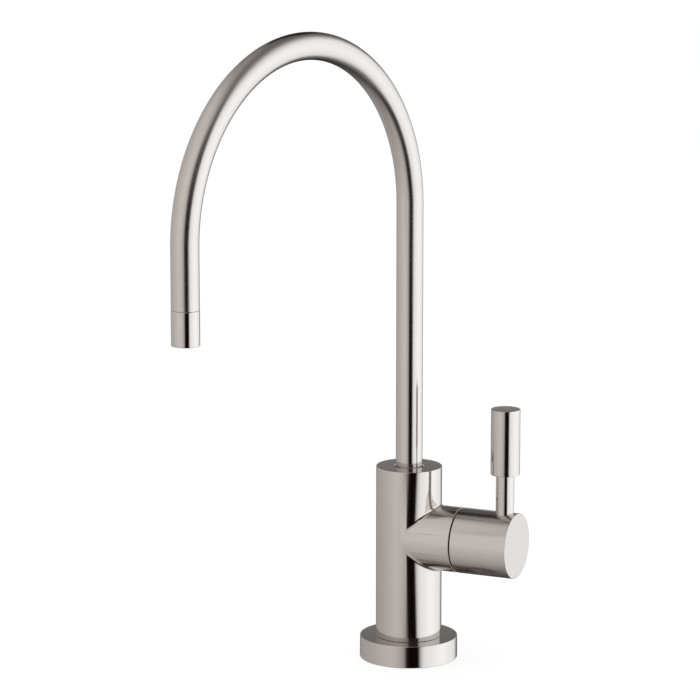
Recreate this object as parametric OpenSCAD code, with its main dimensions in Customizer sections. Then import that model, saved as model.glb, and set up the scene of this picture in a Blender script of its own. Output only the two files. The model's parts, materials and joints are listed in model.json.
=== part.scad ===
// Drinking water filter tap: a slim column on a round flange, a swivelling swan-neck
// spout, and a side lever that turns a quarter-turn ceramic disc cartridge.
// Millimetres, +Z up. The origin is on the deck at the column's axis, and the spout
// reaches along -Y. Distances along the lever's axis start at the column's axis.

/* [Base flange] */
// Outside diameter of the round flange
flange_d = 37.1; // [35:0.1:45]
// Height of the flange
flange_h = 8.4; // [7:0.1:12]
// Diameter of the column's register in the flange
register_d = 21; // [16:0.1:23]
// Depth of the column's register in the flange
register_h = 3; // [2:0.1:4]
// Outside diameter of the base gasket
gasket_d = 32; // [26:0.1:33]
// Thickness of the base gasket, which lies flush with the flange
gasket_t = 2; // [1.5:0.1:3]

/* [Deck mounting] */
// Outside diameter of the threaded shank
shank_d = 11.1; // [10:0.1:12]
// Length of the shank below the deck
shank_l = 50; // [45:1:80]
// Engagement of the shank in the foot of the column
shank_engage = 10; // [8:0.1:12]
// Water bore through the shank
shank_bore_d = 5; // [4:0.1:5.5]
// Bore of the supply tube's socket in the end of the shank
inlet_d = 6.5; // [6:0.05:7]
// Depth of the supply tube's socket
inlet_depth = 16; // [12:0.5:30]
// Thickness of the deck that the tap clamps
deck_t = 20; // [5:0.5:28]
// Outside diameter of the rubber deck washer
deck_washer_d = 32; // [26:0.5:40]
// Thickness of the rubber deck washer
deck_washer_t = 3; // [2:0.1:5]
// Outside diameter of the steel clamp washer
clamp_washer_d = 28; // [24:0.5:32]
// Thickness of the steel clamp washer
clamp_washer_t = 1.6; // [1:0.1:3]
// Width across the flats of the mounting nut
nut_af = 17.5; // [16:0.1:22]
// Height of the mounting nut
nut_h = 6; // [5:0.1:8]

/* [Column] */
// Diameter of the column
body_d = 25; // [24.8:0.1:32]
// Height of the column above the flange
body_h = 66; // [65:0.1:90]
// Diameter of the boss on the column and of the lever's hub, which run flush
barrel_d = 24.7; // [22:0.1:24.8]
// Distance of the lever's axis below the column's top
lever_axis_drop = 26.8; // [25.6:0.1:36]
// Distance from the column's axis to the face of the boss
boss_reach = 21.4; // [20:0.1:26]
// Angle of the lever's axis behind square to the spout
lever_azimuth = 13.3; // [0:0.1:30]
// Diameter of the drilled water ways in the column
way_d = 4; // [3:0.1:4.2]
// Wall between the rising inlet way and the cartridge chamber
way_wall = 1.5; // [1:0.1:1.6]
// Distance of the outlet way in front of the column's axis
outlet_way_at = 2.9; // [2.2:0.1:3.2]

/* [Spout] */
// Outside diameter of the spout tube
spout_d = 10.1; // [9:0.1:12]
// Wall of the spout tube
spout_wall = 0.9; // [0.7:0.05:1.1]
// Distance from the riser to the falling leg
spout_reach = 128.4; // [90:0.1:180]
// Straight riser from the column's top to the arch
riser_h = 100.1; // [60:0.1:160]
// Straight falling leg from the arch to the nozzle
drop_l = 21.8; // [12:0.1:60]
// Outside diameter of the nozzle sleeve
nozzle_d = 10.2; // [9.8:0.1:12.4]
// Length of the nozzle sleeve
nozzle_l = 12.6; // [9:0.1:20]
// Length of the plugs that hold the tail and the nozzle in the tube
plug_l = 8; // [5:0.1:10]
// Water bore of the tail and of the nozzle
tail_bore_d = 5.6; // [4.5:0.1:6]

/* [Spout seat] */
// Length of the sealed tail below the tube
tail_l = 9.7; // [9.2:0.1:11]
// Height of the column's lip that keeps the bush in its groove
bush_lip = 1.4; // [1.2:0.1:2]
// Height of the swivel bush
bush_h = 4; // [3:0.1:5]
// Wall of the swivel bush
bush_wall = 0.6; // [0.5:0.05:1.2]
// Width of the split that lets the bush snap into its groove
bush_split = 1.5; // [1:0.1:2.5]
// Countersink of the column's mouth round the tube
mouth = 0.5; // [0.3:0.05:0.7]
// Gap between the tail and the bore that its rings seal
seal_gap = 0.2; // [0.15:0.01:0.3]
// Cross-section of the spout's sealing rings
spout_o_ring_t = 1.5; // [1.2:0.05:1.6]
// Height of the lower sealing ring above the socket's floor
o_ring_lift = 4.7; // [4.4:0.1:5]
// Distance between the two sealing rings
o_ring_pitch = 2.8; // [2.6:0.1:3.2]
// Height of the snap ring above the socket's floor
snap_ring_lift = 2.3; // [1.6:0.1:2.5]
// Thickness of the snap ring
snap_ring_t = 1.2; // [0.8:0.05:1.3]
// Depth to which the snap ring locks into the column and into the tail
snap_lock = 0.6; // [0.4:0.05:0.8]

/* [Cartridge] */
// Outside diameter of the cartridge's thread
cartridge_d = 16; // [15.6:0.1:17]
// Outside diameter of the windowed skirt round the discs
skirt_d = 14.2; // [14:0.1:14.8]
// Width of the skirt's windows
window_w = 7; // [5:0.1:9]
// Width across the flats of the cartridge's hexagon
hex_af = 17; // [16.6:0.1:18]
// Height of the cartridge's hexagon
hex_h = 3.8; // [3:0.1:4.5]
// Diameter of the neck outside the hexagon
neck_d = 11.2; // [10:0.1:13]
// Length of the neck outside the hexagon
neck_l = 2.7; // [2:0.1:4]
// Cross-section of the cartridge's sealing ring
cartridge_o_ring_t = 1.6; // [1.2:0.05:2]
// Diameter of the ceramic discs
disc_d = 12.6; // [11.8:0.1:12.8]
// Thickness of the fixed disc
fixed_disc_t = 2.6; // [2:0.1:3]
// Thickness of the moving disc
moving_disc_t = 2.4; // [2:0.1:3]
// Thickness of the seal under the fixed disc
seat_seal_t = 2.2; // [1.6:0.1:2.6]
// Inside diameter of the seal under the fixed disc
seat_seal_id = 10.4; // [10.1:0.1:11]
// Diameter of the inlet port in the chamber's floor
seat_port_d = 5; // [4:0.1:6]
// Half the angle of each sector port in the discs
port_half_angle = 38; // [25:1:42]
// Outer radius of the sector ports
port_outer_r = 5; // [4.2:0.1:5.3]
// Inner radius of the sector ports
port_inner_r = 1.9; // [1.8:0.1:2.4]

/* [Spindle] */
// Diameter of the spindle
spindle_d = 8; // [7:0.1:8.4]
// Teeth of the spindle's spline
spline_teeth = 20; // [12:1:28]
// Depth of the spline's teeth
spline_depth = 0.45; // [0.3:0.05:0.6]
// Length of the spline
spline_l = 5.2; // [4.6:0.1:5.6]
// Diameter of the spindle's foot
foot_d = 12; // [11:0.1:12.4]
// Height of the spindle's foot
foot_h = 3; // [2:0.1:4]
// Width of the tang that drives the moving disc
tang_w = 3; // [2.4:0.1:3.4]
// Depth of the tang in the moving disc
tang_h = 1.2; // [0.8:0.1:1.5]
// Thickness of the slip washer above the foot
slip_washer_t = 0.8; // [0.5:0.1:1.2]
// Cross-section of the spindle's sealing ring
spindle_o_ring_t = 1.1; // [0.9:0.05:1.4]
// Thickness of the spindle's clip
clip_t = 0.8; // [0.6:0.05:1.2]
// Outside diameter of the spindle's clip
clip_d = 11.6; // [10:0.1:13]
// Depth of the clip's groove in the spindle
clip_bite = 0.85; // [0.6:0.05:1.2]

/* [Lever] */
// Length of the hub
hub_l = 22.4; // [21.6:0.1:30]
// Open joint between the boss and the hub
hub_gap = 0.5; // [0.3:0.05:1]
// Distance from the hub's end face to the lever's centre line
lever_inset = 5; // [4.4:0.1:5.4]
// Diameter of the lever's rod
rod_d = 6.9; // [6:0.1:8]
// Length of the rod between the hub and the grip
rod_l = 14.8; // [8:0.1:40]
// Depth to which the rod is let into the hub
rod_seat = 2.5; // [1.5:0.1:3]
// Diameter of the studs on the rod's ends
stud_d = 5; // [4:0.1:5.2]
// Length of the studs on the rod's ends
stud_l = 4.5; // [3:0.1:5]
// Diameter of the grip
grip_d = 11; // [9:0.1:16]
// Length of the grip
grip_l = 25; // [15:0.1:60]
// Diameter of the grub screw
grub_d = 4; // [3:0.1:4.2]
// Length of the grub screw
grub_l = 6; // [4:0.1:7]
// Width across the flats of the grub screw's socket
grub_socket_af = 2; // [1.5:0.1:2.2]

/* [Outlet] */
// Diameter of the stream straightener
straightener_d = 8.4; // [8:0.1:8.8]
// Height of the stream straightener
straightener_h = 4; // [3:0.1:5]
// Depth of the straightener above the outlet's rim
straightener_recess = 0.6; // [0.3:0.1:1]
// Diameter of each hole in the straightener
jet_d = 1.1; // [0.8:0.05:1.2]
// Distance between the holes in the straightener
jet_pitch = 1.55; // [1.4:0.05:1.6]
// Thickness of the washer above the straightener
nozzle_washer_t = 1; // [0.8:0.1:1.4]

/* [Fits] */
// Radial clearance of a turning or screwed fit
run_fit = 0.05; // [0.02:0.01:0.08]
// Radial clearance of a piece that stays in its seat
seat_fit = 0.02; // [0.01:0.01:0.04]
// Radial clearance of a washer on the shank
washer_fit = 0.3; // [0.2:0.05:0.6]
// End clearance of a piece in a blind hole
end_gap = 0.3; // [0.2:0.05:0.4]
// Film between the lapped discs
disc_film = 0.02; // [0.01:0.01:0.05]
// Radial play of the discs in the skirt
disc_play = 0.2; // [0.1:0.05:0.3]
// Room round the hexagon's corners in the hub
hex_room = 0.5; // [0.3:0.1:1]
// Broken edge on the outside of turned pieces
rim = 0.3; // [0.2:0.05:0.5]

/* [Hidden] */
$fn = 96;
hex_sides = 6;
// Overshoot of a cut beyond the face that it opens
cut = 1;

// Heights of the column
body_top = flange_h + body_h;
lever_axis_z = body_top - lever_axis_drop;
register_z = flange_h - register_h;
shank_top = register_z + shank_engage;
register_floor = register_z - seat_fit;

// Deck stack, from the deck's underside downwards
deck_washer_z = -deck_t - deck_washer_t;
clamp_washer_z = deck_washer_z - clamp_washer_t;
nut_z = clamp_washer_z - nut_h;

// Spout seat, from the column's top downwards
bush_z = body_top - bush_lip - bush_h;
bush_seat_r = spout_d / 2 + run_fit + bush_wall;
tube_end_z = bush_z - end_gap;
socket_floor = tube_end_z - tail_l - end_gap;
seal_bore_r = spout_d / 2 + seal_gap;
spout_id = spout_d - 2 * spout_wall;
spout_ring_r = seal_bore_r - run_fit - spout_o_ring_t / 2;
spout_groove_r = spout_ring_r - spout_o_ring_t / 2 - seat_fit;
groove_side = 0.25;
snap_ring_z = socket_floor + snap_ring_lift;
snap_ring_r = seal_bore_r + snap_lock;
snap_groove_r = spout_d / 2 - snap_lock;
snap_play = 0.2;
snap_split = 2.5;

// Arch and outlet
arch_r = spout_reach / 2;
arch_z = body_top + riser_h;
nozzle_top = arch_z - drop_l;
nozzle_z = nozzle_top - nozzle_l;
straightener_z = nozzle_z + straightener_recess;
nozzle_washer_z = straightener_z + straightener_h;
insert_top = nozzle_washer_z + nozzle_washer_t;
jet_rings = 2;

// Cartridge stack, outwards along the lever's axis from the chamber's floor
chamber_r = cartridge_d / 2 + run_fit;
fixed_disc_at = seat_seal_t;
moving_disc_at = fixed_disc_at + fixed_disc_t + disc_film;
foot_at = moving_disc_at + moving_disc_t;
slip_washer_at = foot_at + foot_h;
shoulder_at = slip_washer_at + slip_washer_t + run_fit;
skirt_bore_r = disc_d / 2 + disc_play;
disc_run_r = disc_d / 2 - disc_play;
spindle_bore_r = spindle_d / 2 + run_fit;
cartridge_ring_at = boss_reach - cartridge_o_ring_t;
cartridge_ring_r = chamber_r - seat_fit - cartridge_o_ring_t / 2;
cartridge_groove_r = cartridge_ring_r - cartridge_o_ring_t / 2 - seat_fit;
hex_end = boss_reach + hex_h;
neck_end = hex_end + neck_l;
spindle_ring_r = spindle_bore_r - run_fit / 2 - spindle_o_ring_t / 2;
spindle_groove_r = spindle_ring_r - spindle_o_ring_t / 2 - seat_fit;
spindle_ring_at = (shoulder_at + neck_end) / 2;
clip_at = neck_end + 2 * run_fit;
clip_groove_r = spindle_d / 2 - clip_bite;
clip_mouth = 2 * (clip_groove_r - clip_bite / 2);
spline_at = clip_at + clip_t + end_gap;
spline_end = spline_at + spline_l;

// Water ways
inlet_way_at = -way_wall - way_d / 2;

// Lever
hub_at = boss_reach + hub_gap;
hub_end = hub_at + hub_l;
hub_cavity_r = hex_af / 2 / cos(30) + hex_room;
lever_at = hub_end - lever_inset;
hub_top = lever_axis_z + barrel_d / 2;
rod_z = hub_top - rod_seat;
grip_z = hub_top + rod_l;
grub_at = (spline_at + spline_end) / 2;
grub_tip_r = spindle_d / 2 + 2 * run_fit;

// Finishes
satin_nickel = "#b8afa8";
polished_nickel = "#c9c4be";
raw_brass = "#c9a45c";
stainless = "#b4b6b8";
black_rubber = "#26262a";
white_acetal = "#e9e7e1";
black_acetal = "#1d1c1b";
ceramic = "#f4f1ea";

// Places its children on the lever's axis, with +Z outwards and +X downwards
module along_lever() {
  translate([0, 0, lever_axis_z])
    rotate([0, 90, lever_azimuth])
      children();
}

// Places its children on the lever's centre line, upright
module on_lever_rod() {
  rotate([0, 0, lever_azimuth])
    translate([lever_at, 0, 0])
      children();
}

// Places its children on the falling leg of the spout
module on_drop() {
  translate([0, -spout_reach, 0])
    children();
}

// A turned bar with both rims broken
module turned(d, h, edge = rim) {
  r = d / 2;
  rotate_extrude()
    polygon([[0, 0], [r - edge, 0], [r, edge], [r, h - edge], [r - edge, h], [0, h]]);
}

// A flat ring
module ring(outer_r, inner_r, h) {
  difference() {
    cylinder(r = outer_r, h = h);
    translate([0, 0, -cut])
      cylinder(r = inner_r, h = h + 2 * cut);
  }
}

// A round groove that a bar of radius outer_r loses down to inner_r
module groove(outer_r, inner_r, h) {
  ring(outer_r + cut, inner_r, h);
}

// A sealing ring of round section, on its centre plane
module o_ring(centre_r, section) {
  rotate_extrude()
    translate([centre_r, 0])
      circle(d = section);
}

// A hexagon bar with its corners turned off at both ends
module hex_bar(af, h, edge) {
  corner_r = af / 2 / cos(30);
  intersection() {
    cylinder(r = corner_r, h = h, $fn = hex_sides);
    turned(2 * corner_r, h, edge);
  }
}

// Two opposite sectors between two radii
module sectors(outer_r, inner_r, half_angle) {
  reach = 2 * outer_r;
  spread = reach * tan(half_angle);
  for (turn = [0, 180])
    rotate(turn)
      difference() {
        intersection() {
          circle(r = outer_r);
          polygon([[0, 0], [reach, -spread], [reach, spread]]);
        }
        circle(r = inner_r);
      }
}

// Section of the spline: pointed teeth between the root and the tip radius
module spline_section(clearance) {
  tip_r = spindle_d / 2 + clearance;
  root_r = tip_r - spline_depth;
  half_pitch = 180 / spline_teeth;
  polygon([
    for (i = [0 : 2 * spline_teeth - 1])
      (i % 2 == 0 ? tip_r : root_r) * [cos(i * half_pitch), sin(i * half_pitch)]
  ]);
}

// Base and deck mounting

module base_flange() {
  color(satin_nickel)
    difference() {
      turned(flange_d, flange_h);
      translate([0, 0, register_floor])
        cylinder(d = register_d + 2 * seat_fit, h = register_h + cut);
      translate([0, 0, -cut])
        cylinder(d = shank_d + 2 * washer_fit, h = flange_h);
      translate([0, 0, -cut])
        cylinder(d = gasket_d + 2 * seat_fit, h = gasket_t + cut);
    }
}

module base_gasket() {
  color(black_rubber)
    ring(gasket_d / 2, shank_d / 2 + washer_fit, gasket_t);
}

module shank() {
  color(raw_brass)
    difference() {
      translate([0, 0, -shank_l])
        turned(shank_d, shank_l + shank_top);
      translate([0, 0, -shank_l - cut])
        cylinder(d = shank_bore_d, h = shank_l + shank_top + 2 * cut);
      translate([0, 0, -shank_l - cut])
        cylinder(d = inlet_d, h = inlet_depth + cut);
    }
}

module deck_washer() {
  color(black_rubber)
    translate([0, 0, deck_washer_z])
      ring(deck_washer_d / 2, shank_d / 2 + washer_fit, deck_washer_t);
}

module clamp_washer() {
  color(stainless)
    translate([0, 0, clamp_washer_z])
      ring(clamp_washer_d / 2, shank_d / 2 + washer_fit, clamp_washer_t);
}

module mounting_nut() {
  color(raw_brass)
    translate([0, 0, nut_z])
      difference() {
        hex_bar(nut_af, nut_h, 2 * rim);
        translate([0, 0, -cut])
          cylinder(d = shank_d + 2 * run_fit, h = nut_h + 2 * cut);
      }
}

// Column

module column_outside() {
  translate([0, 0, flange_h])
    turned(body_d, body_h);
  translate([0, 0, register_z])
    cylinder(d = register_d, h = register_h + cut);
  along_lever()
    turned(barrel_d, boss_reach);
}

module column_water_ways() {
  along_lever()
    cylinder(r = chamber_r, h = boss_reach + cut);
  along_lever()
    translate([0, 0, inlet_way_at])
      cylinder(d = seat_port_d, h = cut - inlet_way_at);
  rotate([0, 0, lever_azimuth])
    translate([inlet_way_at, 0, shank_top])
      cylinder(d = way_d, h = lever_axis_z - shank_top);
  rotate([0, 0, lever_azimuth])
    translate([outlet_way_at, 0, lever_axis_z])
      cylinder(d = way_d, h = socket_floor - lever_axis_z + cut);
}

module spout_socket() {
  translate([0, 0, socket_floor])
    cylinder(r = seal_bore_r, h = body_top - socket_floor + cut);
  translate([0, 0, snap_ring_z - snap_ring_t / 2 - snap_play])
    cylinder(r = snap_ring_r + snap_play, h = snap_ring_t + 2 * snap_play);
  translate([0, 0, bush_z])
    cylinder(r = bush_seat_r + seat_fit, h = bush_h + 2 * run_fit);
  translate([0, 0, body_top - mouth])
    cylinder(r1 = seal_bore_r, r2 = seal_bore_r + 2 * mouth, h = 2 * mouth);
}

module body() {
  color(satin_nickel)
    difference() {
      column_outside();
      column_water_ways();
      spout_socket();
      translate([0, 0, register_z - cut])
        cylinder(d = shank_d + 2 * run_fit, h = shank_engage + cut + end_gap);
    }
}

module swivel_bush() {
  color(black_acetal)
    translate([0, 0, bush_z])
      difference() {
        ring(bush_seat_r, spout_d / 2 + run_fit, bush_h);
        translate([0, -bush_split / 2, -cut])
          cube([spout_d, bush_split, bush_h + 2 * cut]);
      }
}

// Cartridge

module cartridge_outside() {
  translate([0, 0, end_gap])
    cylinder(d = skirt_d, h = shoulder_at);
  difference() {
    translate([0, 0, shoulder_at])
      cylinder(d = cartridge_d, h = boss_reach - shoulder_at);
    translate([0, 0, cartridge_ring_at - cartridge_o_ring_t / 2 - groove_side])
      groove(cartridge_d / 2, cartridge_groove_r, cartridge_o_ring_t + 2 * groove_side);
  }
  translate([0, 0, boss_reach])
    hex_bar(hex_af, hex_h, rim);
  translate([0, 0, hex_end - cut])
    cylinder(d = neck_d, h = neck_l + cut);
}

module cartridge_body() {
  window_at = fixed_disc_at + fixed_disc_t;
  color(raw_brass)
    along_lever()
      difference() {
        cartridge_outside();
        cylinder(r = skirt_bore_r, h = shoulder_at);
        cylinder(r = spindle_bore_r, h = neck_end + cut);
        translate([-skirt_d, -window_w / 2, window_at])
          cube([2 * skirt_d, window_w, slip_washer_at - window_at]);
      }
}

module cartridge_o_ring() {
  color(black_rubber)
    along_lever()
      translate([0, 0, cartridge_ring_at])
        o_ring(cartridge_ring_r, cartridge_o_ring_t);
}

module seat_seal() {
  color(black_rubber)
    along_lever()
      ring(disc_d / 2, seat_seal_id / 2, seat_seal_t);
}

module fixed_disc() {
  color(ceramic)
    along_lever()
      translate([0, 0, fixed_disc_at])
        linear_extrude(fixed_disc_t)
          difference() {
            circle(d = disc_d);
            sectors(port_outer_r, port_inner_r, port_half_angle);
          }
}

module slip_washer() {
  color(white_acetal)
    along_lever()
      translate([0, 0, slip_washer_at])
        ring(disc_run_r, spindle_bore_r, slip_washer_t);
}

// Spout

module swan_neck(d, overshoot) {
  translate([0, 0, tube_end_z - overshoot])
    cylinder(d = d, h = arch_z - tube_end_z + overshoot);
  translate([0, -arch_r, arch_z])
    rotate([90, 0, 90])
      rotate_extrude(angle = 180)
        translate([arch_r, 0])
          circle(d = d);
  on_drop()
    translate([0, 0, nozzle_top - overshoot])
      cylinder(d = d, h = drop_l + overshoot);
}

module spout_tube() {
  color(satin_nickel)
    difference() {
      swan_neck(spout_d, 0);
      swan_neck(spout_id, cut);
    }
}

module spout_tail() {
  color(raw_brass)
    difference() {
      union() {
        translate([0, 0, socket_floor + end_gap])
          turned(spout_d, tail_l);
        translate([0, 0, tube_end_z - cut])
          cylinder(d = spout_id - 2 * seat_fit, h = plug_l + cut);
      }
      translate([0, 0, socket_floor])
        cylinder(d = tail_bore_d, h = tail_l + plug_l + 2 * cut);
      for (lift = [o_ring_lift, o_ring_lift + o_ring_pitch])
        translate([0, 0, socket_floor + lift - spout_o_ring_t / 2 - groove_side])
          groove(spout_d / 2, spout_groove_r, spout_o_ring_t + 2 * groove_side);
      translate([0, 0, snap_ring_z - snap_ring_t / 2 - run_fit])
        groove(spout_d / 2, snap_groove_r, snap_ring_t + 2 * run_fit);
    }
}

module spout_o_ring(lift) {
  color(black_rubber)
    translate([0, 0, socket_floor + lift])
      o_ring(spout_ring_r, spout_o_ring_t);
}

module upper_o_ring() {
  spout_o_ring(o_ring_lift + o_ring_pitch);
}

module lower_o_ring() {
  spout_o_ring(o_ring_lift);
}

module snap_ring() {
  color(stainless)
    translate([0, 0, snap_ring_z - snap_ring_t / 2])
      difference() {
        ring(snap_ring_r, snap_groove_r + seat_fit, snap_ring_t);
        translate([-snap_split / 2, 0, -cut])
          cube([snap_split, 2 * snap_ring_r, snap_ring_t + 2 * cut]);
      }
}

module nozzle_sleeve() {
  color(polished_nickel)
    on_drop()
      difference() {
        union() {
          translate([0, 0, nozzle_z])
            turned(nozzle_d, nozzle_l, rim / 2);
          translate([0, 0, nozzle_top - cut])
            cylinder(d = spout_id - 2 * seat_fit, h = plug_l + cut);
        }
        translate([0, 0, nozzle_z])
          cylinder(d = tail_bore_d, h = nozzle_l + plug_l + cut);
        translate([0, 0, nozzle_z - cut])
          cylinder(d = straightener_d + 2 * seat_fit, h = insert_top - nozzle_z + cut);
      }
}

module nozzle_washer() {
  color(black_rubber)
    on_drop()
      translate([0, 0, nozzle_washer_z])
        ring(straightener_d / 2, tail_bore_d / 2, nozzle_washer_t);
}

module stream_straightener() {
  color(white_acetal)
    on_drop()
      translate([0, 0, straightener_z])
        linear_extrude(straightener_h)
          difference() {
            circle(d = straightener_d);
            circle(d = jet_d);
            for (level = [1 : jet_rings])
              for (i = [0 : hex_sides * level - 1])
                rotate(i * 360 / (hex_sides * level))
                  translate([level * jet_pitch, 0])
                    circle(d = jet_d);
          }
}

// Lever

module handle_hub() {
  color(satin_nickel)
    difference() {
      along_lever()
        translate([0, 0, hub_at])
          turned(barrel_d, hub_l);
      along_lever()
        translate([0, 0, hub_at - cut])
          cylinder(r = hub_cavity_r, h = clip_at + clip_t - hub_at + cut + end_gap);
      along_lever()
        translate([0, 0, clip_at])
          linear_extrude(spline_end + 2 * end_gap - clip_at)
            spline_section(run_fit);
      along_lever()
        translate([0, 0, grub_at])
          rotate([0, 90, 0])
            cylinder(d = grub_d + 2 * run_fit, h = barrel_d);
      on_lever_rod()
        translate([0, 0, rod_z])
          cylinder(d = rod_d + 2 * seat_fit, h = rod_seat + cut);
      on_lever_rod()
        translate([0, 0, rod_z - stud_l - end_gap])
          cylinder(d = stud_d + 2 * run_fit, h = stud_l + end_gap + cut);
    }
}

module lever_rod() {
  color(satin_nickel)
    on_lever_rod() {
      translate([0, 0, rod_z])
        cylinder(d = rod_d, h = grip_z - rod_z);
      translate([0, 0, rod_z - stud_l])
        cylinder(d = stud_d, h = grip_z - rod_z + 2 * stud_l);
    }
}

module lever_grip() {
  color(satin_nickel)
    on_lever_rod()
      difference() {
        translate([0, 0, grip_z])
          turned(grip_d, grip_l);
        translate([0, 0, grip_z - cut])
          cylinder(d = stud_d + 2 * run_fit, h = stud_l + end_gap + cut);
      }
}

module grub_screw() {
  color(stainless)
    along_lever()
      translate([grub_tip_r, 0, grub_at])
        rotate([0, 90, 0])
          difference() {
            turned(grub_d, grub_l, 2 * rim);
            translate([0, 0, grub_l / 2])
              cylinder(d = grub_socket_af / cos(30), h = grub_l, $fn = hex_sides);
          }
}

module spindle() {
  color(raw_brass)
    along_lever()
      difference() {
        union() {
          translate([0, 0, foot_at])
            cylinder(d = foot_d, h = foot_h);
          translate([-disc_run_r / 2, -tang_w / 2, foot_at - tang_h])
            cube([disc_run_r, tang_w, tang_h + cut]);
          translate([0, 0, foot_at])
            cylinder(d = spindle_d, h = spline_at - foot_at);
          translate([0, 0, spline_at - cut / 2])
            linear_extrude(spline_l + cut / 2)
              spline_section(0);
        }
        translate([0, 0, spindle_ring_at - spindle_o_ring_t / 2 - groove_side])
          groove(spindle_d / 2, spindle_groove_r, spindle_o_ring_t + 2 * groove_side);
        translate([0, 0, clip_at - run_fit])
          groove(spindle_d / 2, clip_groove_r, clip_t + 2 * run_fit);
      }
}

module spindle_o_ring() {
  color(black_rubber)
    along_lever()
      translate([0, 0, spindle_ring_at])
        o_ring(spindle_ring_r, spindle_o_ring_t);
}

module spindle_clip() {
  color(stainless)
    along_lever()
      translate([0, 0, clip_at])
        difference() {
          ring(clip_d / 2, clip_groove_r + seat_fit, clip_t);
          translate([0, -clip_mouth / 2, -cut])
            cube([clip_d, clip_mouth, clip_t + 2 * cut]);
        }
}

module moving_disc() {
  color(ceramic)
    along_lever()
      translate([0, 0, moving_disc_at])
        difference() {
          linear_extrude(moving_disc_t)
            difference() {
              circle(r = disc_run_r);
              rotate(90)
                sectors(disc_d, port_outer_r / 2, port_half_angle);
            }
          translate([-disc_run_r / 2 - run_fit, -tang_w / 2 - run_fit, moving_disc_t - tang_h - run_fit])
            cube([disc_run_r + 2 * run_fit, tang_w + 2 * run_fit, tang_h + cut]);
        }
}

base_flange();
base_gasket();
shank();
deck_washer();
clamp_washer();
mounting_nut();
body();
swivel_bush();
cartridge_body();
cartridge_o_ring();
seat_seal();
fixed_disc();
slip_washer();
spout_tube();
spout_tail();
upper_o_ring();
lower_o_ring();
snap_ring();
nozzle_sleeve();
nozzle_washer();
stream_straightener();
handle_hub();
lever_rod();
lever_grip();
grub_screw();
spindle();
spindle_o_ring();
spindle_clip();
moving_disc();
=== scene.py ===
# %% [markdown]
# # A drinking water tap in satin nickel
#
# The tap is a slim column on a round flange. A thin swan-neck tube swivels in the column's
# top, and a side barrel carries a small lever that opens the water with a quarter turn.
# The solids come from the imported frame, at their real size. This script gives them their
# looks: smooth turned surfaces, fine edges, threads, and metal that shows how it was finished.

# %% Load the frame
import json
import math

import bmesh
import bpy
from mathutils import Matrix, Vector


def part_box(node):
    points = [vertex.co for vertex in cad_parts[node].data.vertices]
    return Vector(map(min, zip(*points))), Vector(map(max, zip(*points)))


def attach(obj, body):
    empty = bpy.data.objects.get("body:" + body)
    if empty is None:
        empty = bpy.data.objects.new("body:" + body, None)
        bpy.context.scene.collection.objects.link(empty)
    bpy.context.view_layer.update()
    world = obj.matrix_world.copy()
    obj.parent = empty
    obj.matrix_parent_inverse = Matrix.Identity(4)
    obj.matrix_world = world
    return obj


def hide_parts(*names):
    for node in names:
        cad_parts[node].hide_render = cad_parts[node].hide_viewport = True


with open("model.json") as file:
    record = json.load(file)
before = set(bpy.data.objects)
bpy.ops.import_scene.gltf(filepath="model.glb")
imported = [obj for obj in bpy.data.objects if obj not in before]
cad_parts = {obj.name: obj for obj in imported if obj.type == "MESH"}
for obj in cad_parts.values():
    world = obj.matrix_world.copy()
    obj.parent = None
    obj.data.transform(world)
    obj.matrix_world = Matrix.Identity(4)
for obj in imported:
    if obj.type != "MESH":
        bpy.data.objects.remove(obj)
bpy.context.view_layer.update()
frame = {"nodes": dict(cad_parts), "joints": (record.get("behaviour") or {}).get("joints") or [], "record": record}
MM = 0.001
print("nodes in the frame:", len(frame["nodes"]))

# %% [markdown]
# ## The camera
#
# The tap is seen from the front right and a little from above, with a long lens that keeps the
# column's sides nearly parallel. A camera can be placed by eye, but then no edge falls quite where
# it should. This one was found by matching the tap's edges with their places in the picture.

# %% Place the camera
CAMERA_AT = Vector((0.7867, -1.0364, 0.3734))
CAMERA_PITCH = math.radians(90 - 11.07)
CAMERA_HEADING = math.radians(38.186)
LENS_MM = 181.29
SENSOR_MM = 36
camera = bpy.data.objects.new("camera", bpy.data.cameras.new("camera"))
camera.location = CAMERA_AT
camera.rotation_euler = (CAMERA_PITCH, 0, CAMERA_HEADING)
camera.data.lens = LENS_MM
camera.data.sensor_width = SENSOR_MM
bpy.context.scene.collection.objects.link(camera)
bpy.context.scene.camera = camera
print("camera distance in metres:", round(CAMERA_AT.length, 3))

# %% [markdown]
# ## Reading sizes from the frame
#
# Every piece has to sit where its solid sits. Typed sizes would stay behind when a solid
# changes, so nearly all of them are measured on the solids, and only a few fits and hidden
# bores are given by name. A box is enough for upright pieces. The barrel lies askew, so its
# pieces are measured along the lever's own axis, which the frame gives as a joint.

# %% Measure from the column's and the lever's axis
lever_joint = next(joint for joint in frame["joints"] if joint["name"] == "handle_turn")
lever_at = Vector(lever_joint["pos_m"])
lever_axis = Vector(lever_joint["axis"]).normalized()


def points(node):
    """The corner points of a solid, at rest."""
    return [v.co for v in frame["nodes"][node].data.vertices]


def off_column(point):
    """Distance of a point from the column's axis."""
    return math.hypot(point.x, point.y)


def off_lever(point):
    """Distance of a point from the lever's axis."""
    return (point - lever_at).cross(lever_axis).length


def along_lever(point):
    """Place of a point along the lever's axis."""
    return (point - lever_at).dot(lever_axis)


def lever_span(node):
    """Nearest and farthest place of a solid along the lever's axis."""
    places = [along_lever(p) for p in points(node)]
    return min(places), max(places)


print("lever's axis above the deck in mm:", round(lever_at.z / MM, 2))

# %% [markdown]
# ## Helpers for turned pieces
#
# Nearly every piece of a tap is turned on a lathe. Stacked cylinders or the Screw modifier could
# make such shapes. The spin operator is closest to the lathe: a half section of a few points
# goes once round its axis, and the section reads like a turner's drawing.

# %% Spin a section
FINE_STEPS = 256
PLAIN_STEPS = 128
MERGE = 0.001 * MM


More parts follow.
